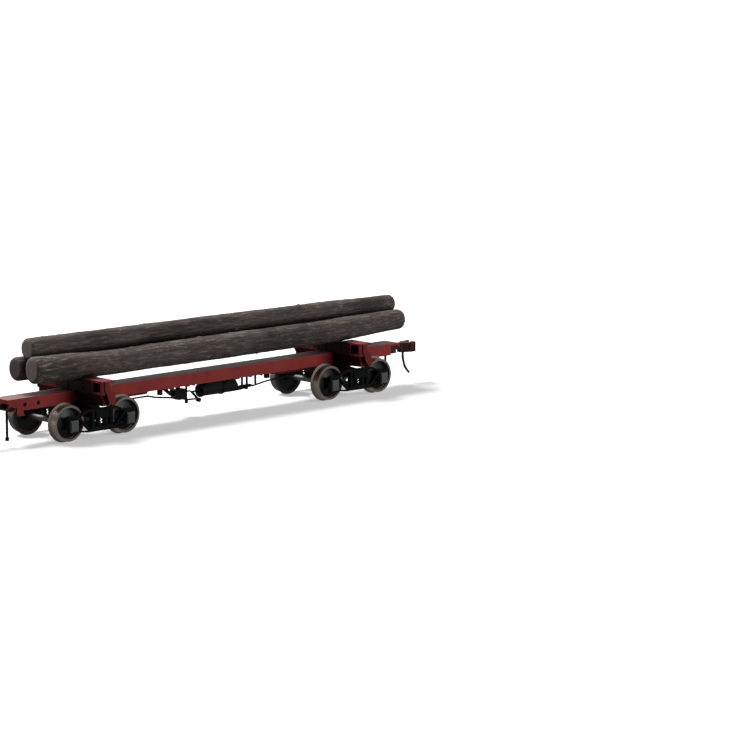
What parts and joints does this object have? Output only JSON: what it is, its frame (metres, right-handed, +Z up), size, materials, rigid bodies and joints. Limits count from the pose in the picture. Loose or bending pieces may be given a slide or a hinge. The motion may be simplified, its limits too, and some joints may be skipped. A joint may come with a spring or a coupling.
{
  "type": "model flat car",
  "caption": "HO scale skeleton log flat car with arch-bar trucks, knuckle couplers and a load of logs on two bunks.",
  "frame": {"origin": "under the middle of the car, level with the bottoms of the wheel flanges", "axes": "+X along the car towards end b, +Y across the car, +Z up"},
  "size_m": [0.1608, 0.0298, 0.0277],
  "materials": {
    "sill_paint": "matt red-brown paint on moulded plastic",
    "truck_black": "matt black moulding, lightly worn",
    "journal_grey": "matt blue-grey worn edges on black",
    "brake_black": "matt black moulding",
    "wheel_metal": "blackened metal with a bright tread",
    "axle_steel": "turned steel",
    "coupler_metal": "brown-blackened metal",
    "wire_steel": "drawn wire",
    "spring_bronze": "bronze leaf",
    "screw_steel": "plated screw",
    "log_bark": "dark rough bark with greyish cut ends"
  },
  "bodies": {
    "car_body": {"side_sill_near": "sill_paint", "side_sill_far": "sill_paint", "sill_cover_plate": "sill_paint", "sill_spacers": "sill_paint", "sill_steps": "sill_paint", "body_bolster_a": "sill_paint", "body_bolster_b": "sill_paint", "draft_box_a": "sill_paint", "draft_box_b": "sill_paint", "draft_lid_a": "sill_paint", "draft_lid_b": "sill_paint", "log_bunk_a": "sill_paint", "log_bunk_b": "sill_paint", "bunk_end_lugs": "sill_paint", "brake_cylinder": "brake_black", "air_reservoir": "brake_black", "cylinder_brackets": "brake_black", "triple_valve": "brake_black", "brake_lever_guide": "brake_black", "cylinder_lever": "brake_black", "rod_hangers": "brake_black", "brake_hose_mouldings": "brake_black", "pull_rods": "brake_black", "king_pins": "screw_steel", "draft_screws": "screw_steel"},
    "coupler_a": {"coupler_a": "coupler_metal", "centring_spring_a": "spring_bronze"},
    "knuckle_a": {"knuckle_a": "coupler_metal", "knuckle_pin_a": "wire_steel", "trip_pin_a": "wire_steel"},
    "truck_a": {"truck_bolster_a": "truck_black", "spring_plank_a": "truck_black", "arch_bars_near_a": "truck_black", "arch_bars_far_a": "truck_black", "journal_boxes_a": "journal_grey", "truck_springs_a": "truck_black"},
    "wheelset_a1": {"axle_a1": "axle_steel", "wheels_a1": "wheel_metal"},
    "wheelset_a2": {"axle_a2": "axle_steel", "wheels_a2": "wheel_metal"},
    "coupler_b": {"coupler_b": "coupler_metal", "centring_spring_b": "spring_bronze"},
    "knuckle_b": {"knuckle_b": "coupler_metal", "knuckle_pin_b": "wire_steel", "trip_pin_b": "wire_steel"},
    "truck_b": {"truck_bolster_b": "truck_black", "spring_plank_b": "truck_black", "arch_bars_near_b": "truck_black", "arch_bars_far_b": "truck_black", "journal_boxes_b": "journal_grey", "truck_springs_b": "truck_black"},
    "wheelset_b1": {"axle_b1": "axle_steel", "wheels_b1": "wheel_metal"},
    "wheelset_b2": {"axle_b2": "axle_steel", "wheels_b2": "wheel_metal"},
    "log_load": {"log_near": "log_bark", "log_far": "log_bark", "log_top": "log_bark"}
  },
  "joints": [
    {"name": "truck_a_swivel", "type": "hinge", "parent": "car_body", "child": "truck_a", "pos_m": [-0.047, 0, 0.00887], "axis": [0, 0, 1], "range_deg": [-12, 12]},
    {"name": "wheelset_a1_spin", "type": "hinge", "parent": "truck_a", "child": "wheelset_a1", "pos_m": [-0.0566, 0, 0.0053], "axis": [0, 1, 0], "continuous": true},
    {"name": "wheelset_a2_spin", "type": "hinge", "parent": "truck_a", "child": "wheelset_a2", "pos_m": [-0.0374, 0, 0.0053], "axis": [0, 1, 0], "continuous": true},
    {"name": "coupler_a_swing", "type": "hinge", "parent": "car_body", "child": "coupler_a", "pos_m": [-0.0626, 0, 0.01055], "axis": [0, 0, 1], "range_deg": [-6, 6], "stiffness_Nm_per_rad": 0.0002},
    {"name": "knuckle_a_open", "type": "hinge", "parent": "coupler_a", "child": "knuckle_a", "pos_m": [-0.0776, 0.00135, 0.01035], "axis": [0, 0, -1], "range_deg": [0, 18], "stiffness_Nm_per_rad": 0.00001},
    {"name": "truck_b_swivel", "type": "hinge", "parent": "car_body", "child": "truck_b", "pos_m": [0.047, 0, 0.00887], "axis": [0, 0, 1], "range_deg": [-12, 12]},
    {"name": "wheelset_b1_spin", "type": "hinge", "parent": "truck_b", "child": "wheelset_b1", "pos_m": [0.0374, 0, 0.0053], "axis": [0, 1, 0], "continuous": true},
    {"name": "wheelset_b2_spin", "type": "hinge", "parent": "truck_b", "child": "wheelset_b2", "pos_m": [0.0566, 0, 0.0053], "axis": [0, 1, 0], "continuous": true},
    {"name": "coupler_b_swing", "type": "hinge", "parent": "car_body", "child": "coupler_b", "pos_m": [0.0626, 0, 0.01055], "axis": [0, 0, 1], "range_deg": [-6, 6], "stiffness_Nm_per_rad": 0.0002},
    {"name": "knuckle_b_open", "type": "hinge", "parent": "coupler_b", "child": "knuckle_b", "pos_m": [0.0776, -0.00135, 0.01035], "axis": [0, 0, -1], "range_deg": [0, 18], "stiffness_Nm_per_rad": 0.00001},
    {"name": "log_load_lift", "type": "slide", "parent": "car_body", "child": "log_load", "axis": [0, 0, 1], "range_m": [0, 0.02]}
  ]
}
